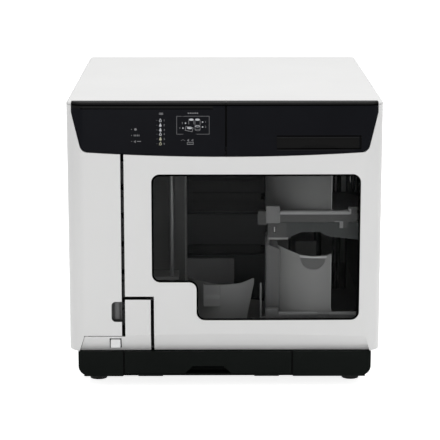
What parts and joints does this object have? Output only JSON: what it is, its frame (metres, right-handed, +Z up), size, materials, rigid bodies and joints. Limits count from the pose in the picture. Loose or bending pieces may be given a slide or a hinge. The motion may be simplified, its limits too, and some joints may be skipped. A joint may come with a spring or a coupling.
{
  "type": "disc label printer",
  "caption": "Desktop disc label printer with a smoked-window front cover, cup stackers, disc drives, a lifting swing arm and a pull-out output drawer.",
  "frame": {"origin": "centre of the footprint, on the surface the feet stand on", "axes": "+Z up, +X to the right seen from the front, the front faces -Y"},
  "size_m": [0.377, 0.493, 0.348],
  "materials": {
    "white_case": "fine moulded texture",
    "black_panel": "satin black",
    "black_plastic": "moulded black",
    "smoked_window": "smoked clear plastic",
    "white_button": "gloss",
    "grey_plastic": "moulded grey",
    "dark_grey_plastic": "moulded dark grey",
    "light_grey_plastic": "moulded light grey",
    "sheet_steel": "galvanised sheet",
    "bright_steel": "ground rod",
    "aluminium": "cast and turned",
    "rubber": "moulded rubber",
    "belt_rubber": "toothed belt",
    "circuit_board": "solder mask",
    "ink_plastic": "moulded black"
  },
  "bodies": {
    "machine": {"outer_case": "white_case", "front_corner_block": "white_case", "cover_hinge_pins": "bright_steel", "power_switch": "black_plastic", "operation_panel": "black_panel", "right_fascia": "black_panel", "base_tray": "black_plastic", "rubber_feet": "rubber", "deck_plate": "sheet_steel", "side_frames": "sheet_steel", "roof_frame": "sheet_steel", "bay_partition": "dark_grey_plastic", "stacker_1": "grey_plastic", "stacker_2": "grey_plastic", "stacker_stand": "dark_grey_plastic", "lower_slide_plate": "grey_plastic", "upper_slide_shelf": "light_grey_plastic", "shelf_frame": "dark_grey_plastic", "stacker_3": "grey_plastic", "drive_housings": "sheet_steel", "drive_bezels": "black_plastic", "drive_mechanisms": "aluminium", "drive_cage": "sheet_steel", "control_board": "circuit_board", "board_standoffs": "bright_steel", "printer_chassis": "sheet_steel", "printer_front": "black_plastic", "printer_fascia": "dark_grey_plastic", "carriage_rail": "bright_steel", "carriage_belt": "belt_rubber", "arm_column": "bright_steel", "lift_belt": "belt_rubber", "lift_motor": "sheet_steel", "centre_pillar": "grey_plastic", "rod_brackets": "dark_grey_plastic", "guide_rod": "bright_steel", "ink_holder": "dark_grey_plastic", "ink_cartridges": "ink_plastic", "power_supply": "sheet_steel", "rear_panel": "white_case", "exhaust_duct": "white_case", "fan_frame": "black_plastic", "rear_sockets": "black_plastic"},
    "disc_cover": {"disc_cover": "white_case", "cover_window": "smoked_window"},
    "swing_arm": {"swing_arm": "grey_plastic", "grip_claws": "light_grey_plastic"},
    "ink_cover": {"ink_cover": "white_case"},
    "power_button": {"power_button": "white_button"},
    "stacker_drawer": {"stacker_drawer": "black_plastic"},
    "drive_1_tray": {"drive_1_tray": "black_plastic"},
    "drive_2_tray": {"drive_2_tray": "black_plastic"},
    "print_tray": {"print_tray": "dark_grey_plastic"},
    "drive_1_eject_button": {"drive_1_eject_button": "black_plastic"},
    "drive_2_eject_button": {"drive_2_eject_button": "black_plastic"},
    "print_carriage": {"print_carriage": "black_plastic"},
    "lift_carriage": {"lift_carriage": "aluminium"},
    "lift_pulley_upper": {"lift_pulley_upper": "aluminium"},
    "lift_pulley_lower": {"lift_pulley_lower": "aluminium"},
    "fan_rotor": {"fan_rotor": "black_plastic"}
  },
  "joints": [
    {"name": "disc_cover_hinge", "type": "hinge", "parent": "machine", "child": "disc_cover", "pos_m": [0.1857, -0.208, 0], "axis": [0, 0, 1], "range_deg": [0, 95]},
    {"name": "ink_cover_hinge", "type": "hinge", "parent": "machine", "child": "ink_cover", "pos_m": [-0.1857, -0.208, 0], "axis": [0, 0, -1], "range_deg": [0, 95]},
    {"name": "power_button_press", "type": "slide", "parent": "machine", "child": "power_button", "axis": [0, 1, 0], "range_m": [0, 0.0015], "stiffness_N_per_m": 400},
    {"name": "stacker_drawer_slide", "type": "slide", "parent": "machine", "child": "stacker_drawer", "axis": [0, -1, 0], "range_m": [0, 0.2]},
    {"name": "drive_1_tray_slide", "type": "slide", "parent": "machine", "child": "drive_1_tray", "axis": [0, -1, 0], "range_m": [0, 0.148]},
    {"name": "drive_2_tray_slide", "type": "slide", "parent": "machine", "child": "drive_2_tray", "axis": [0, -1, 0], "range_m": [0, 0.148]},
    {"name": "print_tray_slide", "type": "slide", "parent": "machine", "child": "print_tray", "axis": [0, -1, 0], "range_m": [0, 0.148]},
    {"name": "drive_1_eject_press", "type": "slide", "parent": "machine", "child": "drive_1_eject_button", "axis": [0, 1, 0], "range_m": [0, 0.0012], "stiffness_N_per_m": 300},
    {"name": "drive_2_eject_press", "type": "slide", "parent": "machine", "child": "drive_2_eject_button", "axis": [0, 1, 0], "range_m": [0, 0.0012], "stiffness_N_per_m": 300},
    {"name": "print_carriage_slide", "type": "slide", "parent": "machine", "child": "print_carriage", "axis": [-1, 0, 0], "range_m": [0, 0.095]},
    {"name": "arm_lift", "type": "slide", "parent": "machine", "child": "lift_carriage", "axis": [0, 0, 1], "range_m": [-0.24, 0]},
    {"name": "arm_swing", "type": "hinge", "parent": "lift_carriage", "child": "swing_arm", "pos_m": [0.1232, -0.044, 0], "axis": [0, 0, 1], "range_deg": [0, 72]},
    {"name": "upper_pulley_turn", "type": "hinge", "parent": "machine", "child": "lift_pulley_upper", "pos_m": [0.152, -0.044, 0.32], "axis": [0, 1, 0], "range_deg": [-1585, 0]},
    {"name": "lower_pulley_turn", "type": "hinge", "parent": "machine", "child": "lift_pulley_lower", "pos_m": [0.152, -0.044, 0.03], "axis": [0, 1, 0], "range_deg": [-1585, 0]},
    {"name": "fan_spin", "type": "hinge", "parent": "machine", "child": "fan_rotor", "pos_m": [0.1, 0.2035, 0.24], "axis": [0, 1, 0], "continuous": true}
  ],
  "couplings": [
    {"joint": "upper_pulley_turn", "follows": "arm_lift", "rad_per_m": 114.94},
    {"joint": "lower_pulley_turn", "follows": "arm_lift", "rad_per_m": 114.94}
  ]
}
